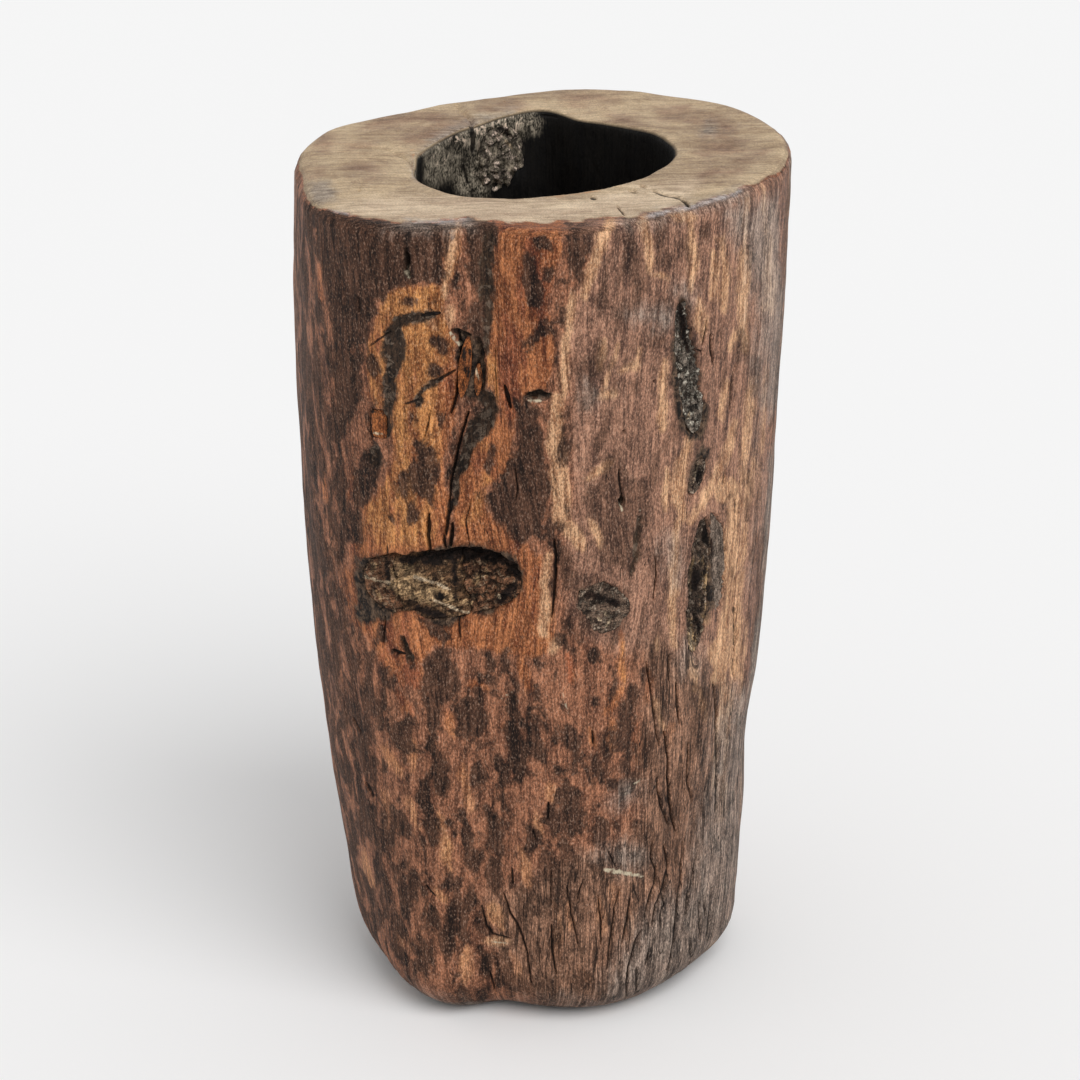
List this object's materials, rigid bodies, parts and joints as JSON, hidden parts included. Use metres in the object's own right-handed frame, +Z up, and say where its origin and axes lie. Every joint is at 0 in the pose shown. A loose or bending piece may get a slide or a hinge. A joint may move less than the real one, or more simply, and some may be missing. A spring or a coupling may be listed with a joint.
{
  "type": "carved log butter pot",
  "caption": "Tall pot hollowed from one hardwood log, with a thick worn rim, an uneven mouth and dead knots left in its wall; stands on a flat foot.",
  "frame": {"origin": "middle of the flat foot, on the ground", "axes": "+Z up through the mouth; -Y is the front, with the large knot; +X is to the right seen from the front"},
  "size_m": [0.2428, 0.2505, 0.4324],
  "materials": {
    "heartwood": "oiled brown and red wood, dark mottled, worn smooth, rough in the cavity",
    "dead_knot": "dark weathered end grain of a dead branch, rough",
    "broken_knot": "pale broken end grain of a dead branch, rough",
    "bark": "black ingrown bark with light grit, rough",
    "rotten_wood": "grey-green crumbly decayed wood, rough",
    "split_wood": "orange wood with a fresh split grain, satin"
  },
  "bodies": {
    "root": {"pot_body": "heartwood", "front_knot_left": "dead_knot", "front_knot_middle": "broken_knot", "front_knot_right": "dead_knot", "right_knot_core": "dead_knot", "right_knot_bark": "bark", "right_small_knot": "dead_knot", "ingrown_bark": "bark", "centre_knot": "dead_knot", "loose_chip": "split_wood", "fissure_splinter": "split_wood", "fissure_shard": "split_wood", "inner_rot": "rotten_wood"}
  },
  "joints": []
}
